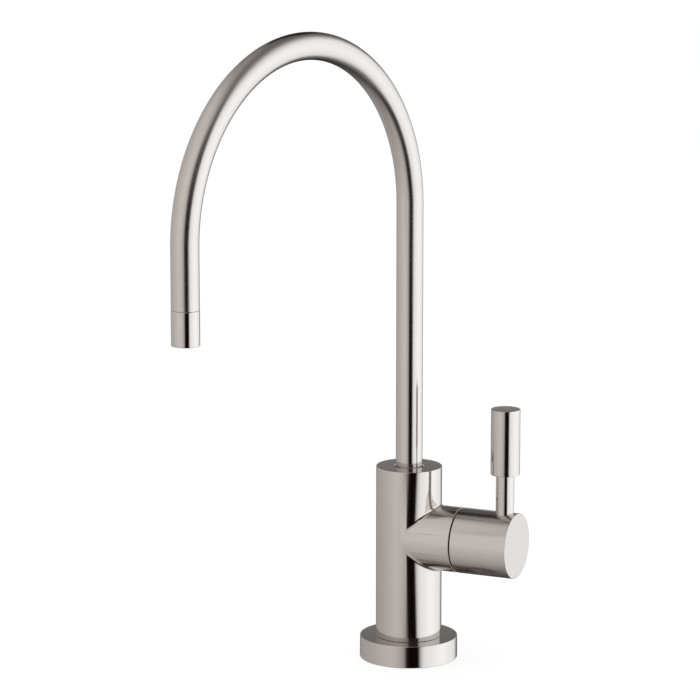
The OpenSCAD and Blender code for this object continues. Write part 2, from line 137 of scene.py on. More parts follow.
def lathe(section, steps=FINE_STEPS):
    """A closed half section of (radius, height) points, spun once round the Z axis."""
    bm = bmesh.new()
    corners = [bm.verts.new((radius, 0, height)) for radius, height in section]
    edges = [bm.edges.new(pair) for pair in zip(corners, corners[1:] + corners[:1])]
    bmesh.ops.spin(bm, geom=corners + edges, cent=(0, 0, 0), axis=(0, 0, 1),
                   angle=2 * math.pi, steps=steps, use_merge=True)
    bmesh.ops.remove_doubles(bm, verts=bm.verts, dist=MERGE)
    wires = [e for e in bm.edges if not e.link_faces]
    bmesh.ops.delete(bm, geom=wires, context="EDGES")
    bmesh.ops.recalc_face_normals(bm, faces=bm.faces)
    return bm


def turned_ring(inner_r, outer_r, low, high, steps=PLAIN_STEPS):
    """A flat ring, or a bar where its inner radius is 0."""
    return lathe([(inner_r, low), (outer_r, low), (outer_r, high), (inner_r, high)], steps)


print("steps round a fine and a plain piece:", FINE_STEPS, PLAIN_STEPS)

# %% [markdown]
# A turner breaks sharp corners with a file, and only a broken edge catches the light. A Bevel
# modifier would treat all corners alike. The bevel operator takes the edges that it is
# given, so a rim that shows gets its break and a hidden bore stays simple.

# %% Break the edges
SHARP = math.radians(28)
CLOSE = 0.1 * MM


def break_edges(bm, width, chosen=lambda edge: True):
    """Bevels the sharp edges that are chosen."""
    sharp = [e for e in bm.edges if len(e.link_faces) == 2 and e.calc_face_angle() > SHARP and chosen(e)]
    bmesh.ops.bevel(bm, geom=sharp, offset=width, offset_type="OFFSET", segments=3, profile=0.5,
                    affect="EDGES", clamp_overlap=False, material=-1)


def on_rim(radius):
    """A test for edges that lie at this radius or farther out."""
    return lambda edge: off_column((edge.verts[0].co + edge.verts[1].co) / 2) > radius - CLOSE


print("corners that count as sharp, in degrees:", round(math.degrees(SHARP)))

# %% [markdown]
# A finished mesh becomes an object at the origin. Where two turned shapes meet, one of them is the
# tool of a Boolean modifier, because it finds the exact curve in which they cut each other. A
# weighted-normal modifier keeps flat faces flat right up to their bevels. Last, the piece is hung
# on the body it rides on, and the solid it stands for is hidden.

# %% Join, cut and hand over
CREASE = math.radians(32)


def place(bm, matrix):
    """Moves a mesh to where the frame has it."""
    bmesh.ops.transform(bm, matrix=matrix, verts=bm.verts)


def to_object(bm, name):
    """A smooth-shaded object at the origin, with its place in its mesh."""
    for face in bm.faces:
        face.smooth = True
    mesh = bpy.data.meshes.new(name)
    bm.to_mesh(mesh)
    bm.free()
    mesh.set_sharp_from_angle(angle=CREASE)
    made = bpy.data.objects.new(name, mesh)
    bpy.context.scene.collection.objects.link(made)
    return made


def cut_or_join(target, tool, operation):
    """Applies one Boolean to the target's mesh and removes the tool."""
    step = target.modifiers.new("step", "BOOLEAN")
    step.operation = operation
    step.solver = "EXACT"
    step.object = tool
    bpy.context.view_layer.update()
    seen = target.evaluated_get(bpy.context.evaluated_depsgraph_get())
    result = bpy.data.meshes.new_from_object(seen)
    target.modifiers.clear()
    target.data = result
    bpy.data.objects.remove(tool)


def hand_over(made, body, node):
    """Finishes a piece's shading, hangs it on its body and hides the solid it stands for."""
    weighted = made.modifiers.new("weighted_normals", "WEIGHTED_NORMAL")
    weighted.keep_sharp = True
    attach(made, body)
    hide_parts(node)
    print(made.name, "faces:", len(made.data.polygons))
    return made


print("smooth shading up to, in degrees:", round(math.degrees(CREASE)))

# %% [markdown]
# ## The flange and its gasket
#
# The flange is a plain turned plate with a crisp rim. From below it is recessed for a rubber
# gasket, from above the column sits in it, and a hole lets the shank through. A bevelled
# cylinder would do for the outside, but one spun section gives all of it. The rim's break is
# small, so that it shows as one thin bright line.

# %% Turn the flange
FINE_BREAK = 0.22 * MM
SEAT_FIT = 0.02 * MM
WASHER_FIT = 0.3 * MM
flange_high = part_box("base_flange")[1]
flange_r, flange_top = flange_high.x, flange_high.z
gasket_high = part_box("base_gasket")[1]
gasket_r, gasket_t = gasket_high.x, gasket_high.z
shank_low, shank_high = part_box("shank")
shank_r = shank_high.x
hole_r = shank_r + WASHER_FIT
body_low, body_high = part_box("body")
foot_z = body_low.z
foot_r = max(off_column(p) for p in points("body") if p.z < foot_z + CLOSE)
flange_mesh = lathe([
    (hole_r, gasket_t), (gasket_r + SEAT_FIT, gasket_t), (gasket_r + SEAT_FIT, 0), (flange_r, 0),
    (flange_r, flange_top), (foot_r + SEAT_FIT, flange_top), (foot_r + SEAT_FIT, foot_z - SEAT_FIT),
    (hole_r, foot_z - SEAT_FIT),
])
break_edges(flange_mesh, FINE_BREAK, on_rim(flange_r))
flange = hand_over(to_object(flange_mesh, "flange_plate"), "tap_body", "base_flange")

# %% [markdown]
# The gasket is a moulded rubber ring. Subdivision could soften it, but it lies flush in the
# flange, so a spun ring whose corners are rounded a little is enough.

# %% Turn the gasket
RUBBER_ROUND = 0.3 * MM
gasket_mesh = turned_ring(hole_r, gasket_r, 0, gasket_t)
break_edges(gasket_mesh, RUBBER_ROUND / 2)
gasket = hand_over(to_object(gasket_mesh, "flange_gasket"), "tap_body", "base_gasket")

# %% [markdown]
# ## The shank and what clamps the deck
#
# A brass shank goes through the deck. A die cuts its thread: a V-shaped groove with 24 turns to
# the inch. A bump in the material could only fake it, and the Screw modifier leaves its ends
# open. Here one toothed line, as long as the shank, is spun once round while it rises by one
# pitch, so every tooth runs into the next one. The seam that stays open at its ends is filled.

# %% Spin the shank's thread
PITCH = 25.4 / 24 * MM
# The usual depth of a thread whose flanks meet at 60 degrees
THREAD_DEPTH = 0.541 * PITCH
THREAD_STEPS = 72
THREAD_END = -1 * MM
# Shares of the pitch: the flat at the root, one flank and the flat on the crest
ROOT, FLANK, CREST = 0.25, 0.3125, 0.125
root_r = shank_r - THREAD_DEPTH
TOOTH = [(0.0, root_r), (ROOT, root_r), (ROOT + FLANK, shank_r), (ROOT + FLANK + CREST, shank_r)]
thread_low = shank_low.z - 2 * PITCH
turns = math.ceil((THREAD_END - thread_low) / PITCH)
thread_high = thread_low + turns * PITCH
line = [(0, thread_low)] + [(r, thread_low + (n + at) * PITCH) for n in range(turns) for at, r in TOOTH]
line += [(root_r, thread_high), (shank_r, thread_high + PITCH / 4), (shank_r, shank_high.z + PITCH),
         (0, shank_high.z + PITCH)]
thread_mesh = bmesh.new()
corners = [thread_mesh.verts.new((r, 0, z)) for r, z in line]
edges = [thread_mesh.edges.new(pair) for pair in zip(corners, corners[1:])]
bmesh.ops.spin(thread_mesh, geom=corners + edges, cent=(0, 0, 0), axis=(0, 0, 1), angle=2 * math.pi,
               steps=THREAD_STEPS, dvec=(0, 0, PITCH / THREAD_STEPS))
bmesh.ops.remove_doubles(thread_mesh, verts=thread_mesh.verts, dist=MERGE)
bmesh.ops.holes_fill(thread_mesh, edges=[e for e in thread_mesh.edges if e.is_boundary])
bmesh.ops.recalc_face_normals(thread_mesh, faces=thread_mesh.faces)
print("open edges of the thread:", len([e for e in thread_mesh.edges if not e.is_manifold]))

# %% [markdown]
# On the real shank the ends are faced, a small cone helps the nut to start, and a drill makes the
# bore for the water and the wider socket for the supply tube. These could be four cuts. One hollow
# turned shape holds them all, and what thread and shape have in common is the shank.

# %% Trim and bore the shank
START_CONE = 0.7 * MM
TRIM = 0.05 * MM
INLET_R, INLET_DEPTH = 3.25 * MM, 16 * MM
WATER_R = 2.5 * MM
inlet_end = shank_low.z + INLET_DEPTH
trim_mesh = lathe([
    (INLET_R, shank_low.z), (shank_r - START_CONE, shank_low.z),
    (shank_r + TRIM, shank_low.z + START_CONE + TRIM), (shank_r + TRIM, shank_high.z),
    (WATER_R, shank_high.z), (WATER_R, inlet_end), (INLET_R, inlet_end),
], PLAIN_STEPS)
shank = to_object(thread_mesh, "threaded_shank")
cut_or_join(shank, to_object(trim_mesh, "trim_tool"), "INTERSECT")
shank.data.set_sharp_from_angle(angle=SHARP)
hand_over(shank, "tap_body", "shank")

# %% [markdown]
# A rubber washer and a steel washer press on the deck from below. Both are rings, and only
# their edges tell them apart: the rubber one is moulded with rounded edges, and the steel one
# is stamped, which rolls its upper edge over and leaves the lower one sharp.

# %% Make the washers
NEAR = 0.002 * MM
STAMP_ROLL = 0.35 * MM
deck_low, deck_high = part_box("deck_washer")
deck_mesh = turned_ring(hole_r, deck_high.x, deck_low.z, deck_high.z)
break_edges(deck_mesh, RUBBER_ROUND)
deck_washer = hand_over(to_object(deck_mesh, "rubber_washer"), "tap_body", "deck_washer")
clamp_low, clamp_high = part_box("clamp_washer")
clamp_mesh = turned_ring(hole_r, clamp_high.x, clamp_low.z, clamp_high.z)
break_edges(clamp_mesh, STAMP_ROLL, lambda e: e.verts[0].co.z > clamp_high.z - NEAR)
clamp_washer = hand_over(to_object(clamp_mesh, "steel_washer"), "tap_body",
                         "clamp_washer")

# %% [markdown]
# The nut is sawn from hexagon bar and chamfered on a lathe, so its corners end in curved lines. A
# bevel would leave straight ones. As in the workshop, a bar of six sides is cut by a turned
# double cone, and then a countersunk hole goes through it.

# %% Cut the nut
NUT_FIT = 0.05 * MM
COUNTERSINK = 0.5 * MM
HEX_SIDES = 6
CHAMFER_ANGLE = math.radians(30)
# Where the chamfer meets the end face, as a share of the distance to the flats
CHAMFER_SHARE = 0.97
nut_low, nut_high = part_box("mounting_nut")
corner_r = max(off_column(p) for p in points("mounting_nut"))
face_r = CHAMFER_SHARE * corner_r * math.cos(math.pi / HEX_SIDES)
nut = to_object(turned_ring(0, corner_r, nut_low.z, nut_high.z, HEX_SIDES), "hexagon_nut")
cone = (corner_r + TRIM - face_r) * math.tan(CHAMFER_ANGLE)
dome_mesh = lathe([
    (0, nut_low.z - TRIM), (face_r, nut_low.z - TRIM), (corner_r + TRIM, nut_low.z + cone),
    (corner_r + TRIM, nut_high.z - cone), (face_r, nut_high.z + TRIM), (0, nut_high.z + TRIM),
], PLAIN_STEPS)
cut_or_join(nut, to_object(dome_mesh, "dome_tool"), "INTERSECT")
nut_r = shank_r + NUT_FIT
hole_mesh = lathe([
    (0, nut_low.z - TRIM), (nut_r + COUNTERSINK, nut_low.z - TRIM), (nut_r, nut_low.z + COUNTERSINK),
    (nut_r, nut_high.z - COUNTERSINK), (nut_r + COUNTERSINK, nut_high.z + TRIM), (0, nut_high.z + TRIM),
], PLAIN_STEPS)
cut_or_join(nut, to_object(hole_mesh, "hole_tool"), "DIFFERENCE")
nut.data.set_sharp_from_angle(angle=SHARP / 2)
hand_over(nut, "tap_body", "mounting_nut")

# %% [markdown]
# ## The column and its boss
#
# The column and the boss that points to the lever are one casting. At its top the column has a
# mouth for the spout, with a groove for the plastic bush, and at its foot a seat for the shank.
# All of that is one half section, so the column is spun like the other turned pieces.

# %% Turn the column
SEAL_GAP = 0.2 * MM
END_GAP = 0.3 * MM
RUN_FIT = 0.05 * MM
MOUTH = 0.5 * MM
column_r, column_top = -body_low.x, body_high.z
tube_low, tube_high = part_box("spout_tube")
tube_r = tube_high.x
bush_low, bush_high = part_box("swivel_bush")
groove_r, groove_top = bush_high.x + SEAT_FIT, bush_high.z + 2 * RUN_FIT
lip_r = tube_r + SEAL_GAP
socket_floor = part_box("spout_tail")[0].z - END_GAP
shank_end = shank_high.z + END_GAP
column_mesh = lathe([
    (shank_r + RUN_FIT, foot_z), (foot_r, foot_z), (foot_r, flange_top), (column_r, flange_top),
    (column_r, column_top), (lip_r + MOUTH, column_top), (lip_r, column_top - MOUTH),
    (lip_r, groove_top), (groove_r, groove_top), (groove_r, bush_low.z),
    (lip_r, bush_low.z), (lip_r, socket_floor), (0, socket_floor),
    (0, shank_end), (shank_r + RUN_FIT, shank_end),
])
break_edges(column_mesh, FINE_BREAK, on_rim(column_r))
print("column diameter in mm:", round(2 * column_r / MM, 2))

# %% [markdown]
# The boss is almost as thick as the column, so the two meet in a saddle whose edges look like a V
# from the side. That curve is hard to model by hand, and a Boolean finds it exactly. A second
# one opens the chamber for the cartridge.

# %% Join the boss
DOWN = Vector((0, 0, -1))
# Lays what was turned upright along the lever's axis
lever_axes = Matrix((DOWN, lever_axis.cross(DOWN), lever_axis)).transposed()
lever_place = Matrix.Translation(lever_at) @ lever_axes.to_4x4()
barrel_r = max(off_lever(p) for p in points("handle_hub"))
boss_end = lever_span("body")[1]
chamber_r = max(off_lever(p) for p in points("cartridge_o_ring"))
boss_mesh = turned_ring(0, barrel_r, 0, boss_end, FINE_STEPS)
break_edges(boss_mesh, FINE_BREAK, lambda e: e.verts[0].co.z > boss_end / 2)
place(boss_mesh, lever_place)
chamber_mesh = turned_ring(0, chamber_r, 0, 2 * boss_end, FINE_STEPS)
place(chamber_mesh, lever_place)
casting = to_object(column_mesh, "casting")
cut_or_join(casting, to_object(boss_mesh, "boss_tool"), "UNION")
cut_or_join(casting, to_object(chamber_mesh, "chamber_tool"), "DIFFERENCE")
print("casting faces:", len(casting.data.polygons))

# %% [markdown]
# The polisher's wheel can't reach into the saddle, so a small fillet stays there. A bevel on every
# edge of the casting would also blunt the rims. Here only edges that lie on both
# cylinders at once are rounded, and those are the saddle.

# %% Fillet the saddle
SADDLE_FILLET = 0.9 * MM


def on_saddle(edge):
    """Whether an edge lies on the column's and on the barrel's surface."""
    return all(abs(off_column(v.co) - column_r) < NEAR and abs(off_lever(v.co) - barrel_r) < NEAR
               for v in edge.verts)


saddle_mesh = bmesh.new()
saddle_mesh.from_mesh(casting.data)
bpy.data.objects.remove(casting)
bmesh.ops.remove_doubles(saddle_mesh, verts=saddle_mesh.verts, dist=NEAR)
break_edges(saddle_mesh, SADDLE_FILLET, on_saddle)
column = hand_over(to_object(saddle_mesh, "column_and_boss"), "tap_body", "body")

# %% [markdown]
# ## The swan neck
#
# The spout is a thin tube: a straight riser, a half-circle arch and a short falling leg. A
# bevelled curve could draw it too, but its rings need not lie square where the bend starts. Here a
# ring of points that is spun through half a turn makes the arch, as a tube bender does, and its two
# end rings are drawn out straight.

# %% Bend the tube
TUBE_SIDES = 96
ARCH_STEPS = 180
spout_reach = -tube_low.y - tube_r
arch_r = spout_reach / 2
arch_z = tube_high.z - tube_r - arch_r
drop_end = min(p.z for p in points("spout_tube") if p.y < -arch_r)
neck_mesh = bmesh.new()
run = neck_mesh.verts.layers.float.new("along_tube")
ring = bmesh.ops.create_circle(neck_mesh, segments=TUBE_SIDES, radius=tube_r,
                               matrix=Matrix.Translation((0, 0, arch_z)))["verts"]
ring_edges = list({e for v in ring for e in v.link_edges})
arch = bmesh.ops.spin(neck_mesh, geom=ring + ring_edges, cent=(0, -arch_r, arch_z), axis=(1, 0, 0),
                      angle=math.pi, steps=ARCH_STEPS)["geom_last"]
last_edges = [g for g in arch if isinstance(g, bmesh.types.BMEdge)]
for end_edges, end_z in ((ring_edges, tube_low.z), (last_edges, drop_end)):
    drawn = bmesh.ops.extrude_edge_only(neck_mesh, edges=end_edges)["geom"]
    drawn_verts = [g for g in drawn if isinstance(g, bmesh.types.BMVert)]
    bmesh.ops.translate(neck_mesh, verts=drawn_verts, vec=(0, 0, end_z - arch_z))
print("reach in mm:", round(spout_reach / MM, 2))

# %% [markdown]
# Each point keeps its distance along the tube, so that the finish can follow the bend, which Object
# coordinates can't. Solidify then gives the wall, and both ends are broken like a cut tube's.

# %% Give the tube its wall
TUBE_WALL = 0.9 * MM
for v in neck_mesh.verts:
    if v.co.z >= arch_z:
        v[run] = arch_r * math.atan2(v.co.z - arch_z, v.co.y + arch_r)
    elif v.co.y > -arch_r:
        v[run] = v.co.z - arch_z
    else:
        v[run] = arch_r * math.pi + arch_z - v.co.z
bmesh.ops.recalc_face_normals(neck_mesh, faces=neck_mesh.faces)
bmesh.ops.solidify(neck_mesh, geom=neck_mesh.faces[:], thickness=TUBE_WALL)
break_edges(neck_mesh, FINE_BREAK)
neck = hand_over(to_object(neck_mesh, "swan_neck"), "spout", "spout_tube")

# %% [markdown]
# ## The nozzle
#
# A more polished sleeve is pressed into the tube's end and hides the stream straightener. The
# joint could be a dark line in the material. Here its top edge and the tube's end are both
# broken, so a real groove runs round the joint and stays true from every side.

# %% Turn the nozzle
NOZZLE_BREAK = 0.25 * MM
NOZZLE_BORE_R = 2.8 * MM
nozzle_low, nozzle_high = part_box("nozzle_sleeve")
nozzle_r = nozzle_high.x
insert_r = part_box("stream_straightener")[1].x + SEAT_FIT
insert_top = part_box("nozzle_washer")[1].z
plug_r = tube_r - TUBE_WALL - SEAT_FIT
nozzle_mesh = lathe([
    (insert_r, nozzle_low.z), (nozzle_r, nozzle_low.z), (nozzle_r, drop_end), (plug_r, drop_end),
    (plug_r, nozzle_high.z), (NOZZLE_BORE_R, nozzle_high.z), (NOZZLE_BORE_R, insert_top),
    (insert_r, insert_top),
], PLAIN_STEPS)
break_edges(nozzle_mesh, NOZZLE_BREAK, on_rim(nozzle_r))
place(nozzle_mesh, Matrix.Translation((0, -spout_reach, 0)))
nozzle = hand_over(to_object(nozzle_mesh, "nozzle"), "spout", "nozzle_sleeve")

# %% [markdown]
# ## The lever
#
# The hub turns behind a fine open joint and runs flush with the boss. It is hollow, because
# the cartridge's hexagon and the spindle reach into it. A plain cylinder would look the same from
# outside, but it would run through those pieces.

# %% Turn the hub
HEX_ROOM = 0.5 * MM
hub_start, hub_end = lever_span("handle_hub")
clip_end = lever_span("spindle_clip")[1]
room_r = max(off_lever(p) for p in points("cartridge_body") if along_lever(p) > boss_end) + HEX_ROOM
room_end = clip_end + END_GAP
bore_r = max(off_lever(p) for p in points("spindle") if along_lever(p) > clip_end) + RUN_FIT
bore_end = lever_span("spindle")[1] + 2 * END_GAP
hub_mesh = lathe([
    (room_r, hub_start), (barrel_r, hub_start), (barrel_r, hub_end), (0, hub_end),
    (0, bore_end), (bore_r, bore_end), (bore_r, room_end), (room_r, room_end),
])
break_edges(hub_mesh, FINE_BREAK, on_rim(barrel_r))
place(hub_mesh, lever_place)
hub = to_object(hub_mesh, "lever_hub")
print("hub length in mm:", round((hub_end - hub_start) / MM, 2))

# %% [markdown]
# A thin rod stands on the hub, let into a drilled hole, and a grub screw from below holds the hub on
# the spindle. Rod and hub could simply run into each other. The holes are cut instead, so that
# the pieces come apart as on a bench, and each edge is where the real one is.

# %% Turn the rod
STUD_R = 2.5 * MM
ROD_SEAT = 2.5 * MM
rod_low, rod_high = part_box("lever_rod")
grip_low, grip_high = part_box("lever_grip")
rod_x, rod_y = (rod_low.x + rod_high.x) / 2, (rod_low.y + rod_high.y) / 2
rod_r = (rod_high.x - rod_low.x) / 2
rod_z = lever_at.z + barrel_r - ROD_SEAT
stand = Matrix.Translation((rod_x, rod_y, 0))
rod_mesh = lathe([
    (0, rod_low.z), (STUD_R, rod_low.z), (STUD_R, rod_z), (rod_r, rod_z), (rod_r, grip_low.z),
    (STUD_R, grip_low.z), (STUD_R, rod_high.z), (0, rod_high.z),
], PLAIN_STEPS)
place(rod_mesh, stand)
rod = hand_over(to_object(rod_mesh, "lever_stem"), "handle", "lever_rod")

# %% Drill the hub
GRUB_R = 2 * MM
stud_low = rod_low.z - END_GAP
seat_mesh = lathe([
    (0, stud_low), (STUD_R + RUN_FIT, stud_low), (STUD_R + RUN_FIT, rod_z),
    (rod_r + SEAT_FIT, rod_z), (rod_r + SEAT_FIT, grip_low.z), (0, grip_low.z),
], PLAIN_STEPS)
place(seat_mesh, stand)
cut_or_join(hub, to_object(seat_mesh, "seat_tool"), "DIFFERENCE")
grub_low, grub_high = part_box("grub_screw")
grub_mesh = turned_ring(0, GRUB_R + RUN_FIT, 0, grub_high.z)
place(grub_mesh, Matrix.Translation(((grub_low.x + grub_high.x) / 2, (grub_low.y + grub_high.y) / 2, 0)))
cut_or_join(hub, to_object(grub_mesh, "grub_tool"), "DIFFERENCE")
hub.data.set_sharp_from_angle(angle=CREASE)
hand_over(hub, "handle", "handle_hub")

# %% [markdown]
# The grip is a thicker turned cylinder that is screwed onto the rod's upper stud. A cylinder with
# bevelled ends could stand for it. Its section also has the blind hole, which shows when the lever
# is taken apart.

# %% Turn the grip
GRIP_BREAK = 0.25 * MM
grip_r = (grip_high.x - grip_low.x) / 2
stud_end = rod_high.z + END_GAP
grip_mesh = lathe([
    (STUD_R + RUN_FIT, grip_low.z), (grip_r, grip_low.z), (grip_r, grip_high.z), (0, grip_high.z),
    (0, stud_end), (STUD_R + RUN_FIT, stud_end),
], PLAIN_STEPS)
break_edges(grip_mesh, GRIP_BREAK, on_rim(grip_r))
place(grip_mesh, stand)
grip = hand_over(to_object(grip_mesh, "lever_knob"), "handle", "lever_grip")

# %% [markdown]
# ## Materials
#
# Each finish starts from what the real surface is. Pictures of metal could be wrapped round
# the pieces, but nodes that know real millimetres fit every piece and need no unwrapping. One small
# function adds any node, with its settings, links and stops, and one turns a hex colour,
# as a paint chart gives it, to linear light.

# %% Helpers for finishes
def linear(hex_colour):
    """An sRGB hex colour as linear red, green, blue and alpha."""
    parts = [int(hex_colour[i:i + 2], 16) / 255 for i in (1, 3, 5)]
    return [c / 12.92 if c <= 0.04045 else ((c + 0.055) / 1.055) ** 2.4 for c in parts] + [1.0]


def add(tree, kind, inputs=None, stops=None, **settings):
    """Adds a node with its settings, its inputs or links and a ramp's stops, and returns its outputs."""
    made = tree.nodes.new("ShaderNode" + kind)
    for name, value in settings.items():
        setattr(made, name, value)
    for key, value in (inputs or {}).items():
        if isinstance(value, bpy.types.NodeSocket):
            tree.links.new(value, made.inputs[key])
        else:
            made.inputs[key].default_value = value
    if stops:
        (first, first_level), *inner, (last, last_level) = stops
        ramp = made.color_ramp.elements
        ramp[0].color, ramp[1].color = [first_level] * 3 + [1], [last_level] * 3 + [1]
        for at, level in inner:
            ramp.new((at - first) / (last - first)).color = [level] * 3 + [1]
    return made.outputs


print("mid grey in linear light:", round(linear("#808080")[0], 3))

# %% [markdown]
# ### Nickel plate
#
# Brass pieces are brushed or polished and then nickel plated, which gives a slightly warm
# grey metal. The brush goes round the piece, so it leaves fine lines round the axis and rings
# on a flat end. An anisotropic shader could stretch the highlights, but it draws no lines. A noise
# texture that is read by height and by distance from the axis draws both lines and rings, so
# each point first needs its place round the axis of its piece.

# %% A new material and a point's place on a turned piece
def new_material(name):
    """A node material and its Principled shader."""
    made = bpy.data.materials.new(name)
    made.use_nodes = True
    return made, made.node_tree, made.node_tree.nodes["Principled BSDF"]


def round_axis(tree, turn, centre):
    """Place in millimetres, turned as the piece is, and the distance from and along its axis."""
    where = add(tree, "TexCoord")["Object"]
    local = add(tree, "VectorMath", {0: where, 1: centre}, operation="SUBTRACT")[0]
    at = add(tree, "Mapping", {"Vector": local, "Rotation": turn, "Scale": [1 / MM] * 3})[0]
    axes = add(tree, "SeparateXYZ", {0: at})
    flat = add(tree, "CombineXYZ", {"X": axes["X"], "Y": axes["Y"]})[0]
    radius = add(tree, "VectorMath", {0: flat}, operation="LENGTH")["Value"]
    return at, radius, axes["Z"]


barrel_turn = lever_axes.inverted().to_euler()
print("turn of the barrel's pieces in degrees:", [round(math.degrees(angle), 1) for angle in barrel_turn])

# %% [markdown]
# The lines barely mark the colour. The polisher's wheel leaves broad patches that are a little more
# or less glossy. On the bent tube the height is the distance along the tube, and its straight foot
# is glossier than the bend. Bare turned brass has the same lines, left by the tool's feed, so
# one function serves both metals.

# %% A finish for turned metal
NICKEL, NICKEL_LOW = "#d0c9c4", "#cac3be"
# Real brush lines are near 0.05 mm apart; drawn coarser, they keep their look from a distance
BRUSH_MM = 0.35
# A line runs about this far before another takes over
DRIFT_MM = 40
WHEEL_MM = 9
WHEEL_SPREAD = 0.012
# Along the tube, from where the bend starts: the end of the glossy foot and the start of the silky part
FOOT_END_MM, SILK_START_MM = -70, -20
# Nearly all values of a noise texture lie between these
NOISE_LOW, NOISE_HIGH = 0.25, 0.75


def turned_metal(name, roughness, turn=(0, 0, 0), centre=(0, 0, 0), run_attribute=None, foot_roughness=None,
                 high=NICKEL, low=NICKEL_LOW):
    """A metal with fine lines round the axis through centre, turned as the piece is turned."""
    made, tree, shader = new_material(name)
    at, radius, height = round_axis(tree, turn, centre)
    middle = roughness
    if run_attribute:
        run = add(tree, "Attribute", attribute_name=run_attribute)["Fac"]
        height = add(tree, "Math", {0: run, 1: 1 / MM}, operation="MULTIPLY")[0]
        middle = add(tree, "MapRange", {
            "Value": height, "From Min": FOOT_END_MM, "From Max": SILK_START_MM,
            "To Min": foot_roughness, "To Max": roughness})[0]
    rings = add(tree, "CombineXYZ", {"X": radius, "Y": height})[0]
    drift = add(tree, "VectorMath", {0: at, 1: [BRUSH_MM / DRIFT_MM] * 3}, operation="MULTIPLY")[0]
    lines_at = add(tree, "VectorMath", {0: rings, 1: drift}, operation="ADD")[0]
    lines = add(tree, "TexNoise", {
        "Vector": lines_at, "Scale": 1 / BRUSH_MM, "Detail": 3.0, "Roughness": 0.6})["Fac"]
    shade = add(tree, "Mix", {0: lines, 6: linear(low), 7: linear(high)}, data_type="RGBA")
    wheel = add(tree, "TexNoise", {"Vector": at, "Scale": 1 / WHEEL_MM, "Detail": 1.0})["Fac"]
    spread = add(tree, "MapRange", {
        "Value": wheel, "From Min": NOISE_LOW, "From Max": NOISE_HIGH,
        "To Min": -WHEEL_SPREAD, "To Max": WHEEL_SPREAD})[0]
    gloss = add(tree, "Math", {0: middle, 1: spread}, operation="ADD")
    tree.links.new(shade[2], shader.inputs["Base Color"])
    tree.links.new(gloss[0], shader.inputs["Roughness"])
    shader.inputs["Metallic"].default_value = 1
    return made


print("brush lines in mm:", BRUSH_MM, "and patches in mm:", WHEEL_MM)

# %% [markdown]
# The pieces of the tap aren't equally glossy. The column, the flange and the lever are buffed nearly
# to a mirror, the barrel and the bent tube keep more of the brush, and the nozzle is polished. One
# nickel for all would make the tap look cast in one, so each piece has a roughness of its own.

# %% Brushed and polished nickel
def give(made, finish):
    """Makes this the one finish of an object."""
    made.data.materials.clear()
    made.data.materials.append(finish)


# Buffed column: the dark gap between the lights stays a sharp black stripe
give(column, turned_metal("satin_nickel_column", 0.1))
# Buffed flange: the glossiest piece, with a crisp stripe
give(flange, turned_metal("satin_nickel_flange", 0.08))
# Brushed hub: soft gradients from light to dark round the barrel
give(hub, turned_metal("satin_nickel_hub", 0.22, barrel_turn, lever_at))
# Brushed tube: a silky bend whose stripe fades, and a glossier straight foot
give(neck, turned_metal("satin_nickel_neck", 0.21, run_attribute="along_tube", foot_roughness=0.14))
# Polished nozzle: stands out from the brushed tube above it by its gloss
give(nozzle, turned_metal("polished_nickel", 0.1, centre=(0, -spout_reach, 0)))
# Buffed lever: a narrow sharp stripe on the stem and the knob
lever_nickel = turned_metal("satin_nickel_lever", 0.11, centre=(rod_x, rod_y, 0))
give(rod, lever_nickel)
give(grip, lever_nickel)
print("nickel finishes:", len([m for m in bpy.data.materials if "nickel" in m.name]))

# %% [markdown]
# The boss belongs to the column's casting but is brushed like the hub, and the ends of column and
# flange were faced on the lathe. Their upward faces also get a darker colour, which is painted
# shade that dims what they mirror. Splitting the casting would open a seam in it. Faces can have a
# finish of their own instead, chosen by where they lie.

# %% Finish the boss, and the faced ends with their painted shade
BOSS_START = 2 * MM
UPWARD = 0.9


def finish_faces(piece, finish, chosen):
    """Gives another finish to the faces that are chosen."""
    piece.data.materials.append(finish)
    faces = [face for face in piece.data.polygons if chosen(face)]
    for face in faces:
        face.material_index = len(piece.data.materials) - 1
    print(finish.name, "on", piece.name, "faces:", len(faces))


def on_boss(face):
    """Whether a face lies on the boss, outside the column."""
    return (off_lever(face.center) < barrel_r + NEAR and along_lever(face.center) > BOSS_START
            and off_column(face.center) > column_r - CLOSE / 2)


def on_top(height):
    """A test for faces that look up at this height."""
    return lambda face: face.normal.z > UPWARD and face.center.z > height - NEAR


# Brushed boss: the hub's sheen, so that the barrel reads as one piece with a joint
finish_faces(column, turned_metal("satin_nickel_boss", 0.2, barrel_turn, lever_at), on_boss)
# Faced ends: rings round the axis and a clear mirror of what stands on them; their darker colour is painted shade
# on the upward faces
faced_nickel_painted_shade = turned_metal("satin_nickel_faced_painted_shade", 0.12, high="#aea7a2", low="#a7a09b")
finish_faces(column, faced_nickel_painted_shade, on_top(column_top))
finish_faces(flange, faced_nickel_painted_shade, on_top(flange_top))

# %% [markdown]
# ### Rubber, plastic, brass, steel and ceramic
#
# Under the deck and inside the tap are bare metal, seals, plastic and ceramic. They show in
# a cut-away or when the tap is taken apart. Flat colours would do from afar, but each has a
# grain of its own: rubber is mottled where it left the mould, plastic has wide flow marks, rolled
# steel is streaked along the roll, and lapped ceramic has a very fine even grain. One noise that is
# stretched to the grain's real size serves them all.

